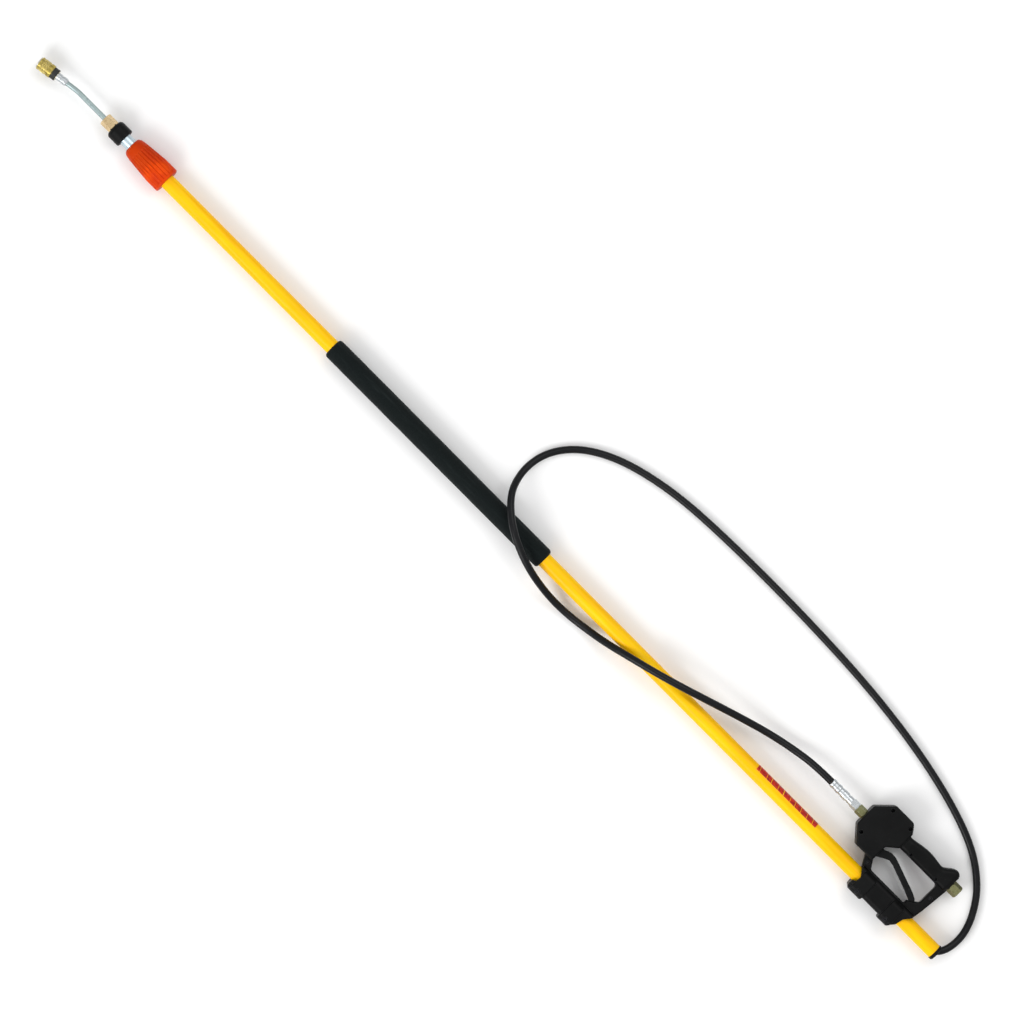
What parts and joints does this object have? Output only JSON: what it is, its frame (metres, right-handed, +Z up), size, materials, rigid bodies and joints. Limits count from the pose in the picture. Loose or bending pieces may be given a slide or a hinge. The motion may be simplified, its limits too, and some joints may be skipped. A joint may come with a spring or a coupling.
{
  "type": "telescoping pressure wash wand",
  "caption": "Telescoping high-pressure wash wand: foam-gripped pole with twist lock, bent lance with quick coupler, clamped trigger gun and looped hose.",
  "frame": {"origin": "on the surface the wand lies on, under the middle of the wand without its free hose", "axes": "X along the pole, base end and hose inlet towards +X, coupler towards -X; +Y from the pole towards the gun; +Z up, across the gun's flat side"},
  "size_m": [2.0413, 0.2792, 0.0655],
  "materials": {
    "yellow_fibreglass": "satin glossy yellow pultruded tube",
    "black_plastic": "moulded, fine texture",
    "foam": "closed-cell foam with a soft sheen",
    "label": "thin printed label",
    "orange_plastic": "ribbed moulded collar",
    "grey_nylon": "natural nylon",
    "anodised_aluminium": "drawn and anodised",
    "brass": "turned brass, slightly dull",
    "dull_brass": "turned brass, dull and greyish",
    "stainless": "drawn stainless tube",
    "zinc_steel": "zinc plated",
    "blackened_steel": "black oxide screws",
    "olive_brass": "turned brass with an olive tarnish",
    "spring_steel": "spring wire",
    "hose_rubber": "smooth wrapped hose cover",
    "seal_rubber": "moulded seal",
    "trigger_plastic": "moulded, smoother than the housing",
    "red_plastic": "moulded latch"
  },
  "bodies": {
    "pole": {"outer_tube": "yellow_fibreglass", "base_end_cap": "black_plastic", "foam_grip": "foam", "label_strip": "label", "lock_body": "black_plastic", "lock_collet": "grey_nylon", "gun_housing_left": "black_plastic", "gun_housing_right": "black_plastic", "housing_screws": "blackened_steel", "clamp_screws": "blackened_steel", "clamp_nuts": "blackened_steel", "clamp_liner": "seal_rubber", "valve_body": "brass", "valve_seat": "grey_nylon", "valve_plug": "brass", "pin_gland": "brass", "pin_seal": "seal_rubber", "inlet_pipe": "stainless", "inlet_fitting": "olive_brass", "outlet_adapter": "olive_brass", "trigger_pivot": "spring_steel", "hose_loop": "hose_rubber", "hose_stem": "zinc_steel", "hose_ferrule": "zinc_steel"},
    "collar": {"lock_collar": "orange_plastic"},
    "extension": {"inner_tube": "anodised_aluminium", "slide_bushing": "grey_nylon", "tip_cap": "black_plastic", "bulkhead_fitting": "dull_brass", "bulkhead_nut": "dull_brass", "inner_hose": "hose_rubber", "inner_hose_ferrule": "zinc_steel", "lance_tube": "stainless", "lance_adapter": "zinc_steel", "coupler_body": "brass", "coupler_ring": "seal_rubber", "coupler_balls": "spring_steel", "coupler_seal": "seal_rubber", "sleeve_stop_ring": "spring_steel"},
    "trigger_lever": {"trigger": "trigger_plastic", "latch_pin": "spring_steel"},
    "push_pin": {"valve_pin": "stainless", "valve_spring": "spring_steel"},
    "latch": {"safety_latch": "red_plastic"},
    "sleeve": {"coupler_sleeve": "brass", "sleeve_spring": "spring_steel"}
  },
  "joints": [
    {"name": "collar_twist", "type": "hinge", "parent": "pole", "child": "collar", "pos_m": [-0.771, -0.04755, 0.023], "axis": [1, 0, 0], "range_deg": [0, 180]},
    {"name": "extension_slide", "type": "slide", "parent": "pole", "child": "extension", "axis": [-1, 0, 0], "range_m": [0, 1.5]},
    {"name": "trigger_pull", "type": "hinge", "parent": "pole", "child": "trigger_lever", "pos_m": [0.813, -0.00155, 0.023], "axis": [0, 0, 1], "range_deg": [0, 16], "stiffness_Nm_per_rad": 1, "springref_deg": -20.05},
    {"name": "push_pin_slide", "type": "slide", "parent": "pole", "child": "push_pin", "axis": [0, 1, 0], "range_m": [0, 0.0036]},
    {"name": "latch_flip", "type": "hinge", "parent": "trigger_lever", "child": "latch", "pos_m": [0.908, -0.00595, 0.023], "axis": [0, 0, 1], "range_deg": [-72, 0]},
    {"name": "sleeve_slide", "type": "slide", "parent": "extension", "child": "sleeve", "axis": [0.9903, 0.1392, 0], "range_m": [0, 0.0035], "stiffness_N_per_m": 1500, "springref_m": -0.004}
  ],
  "couplings": [
    {"joint": "push_pin_slide", "follows": "trigger_pull", "m_per_rad": 0.0125}
  ]
}
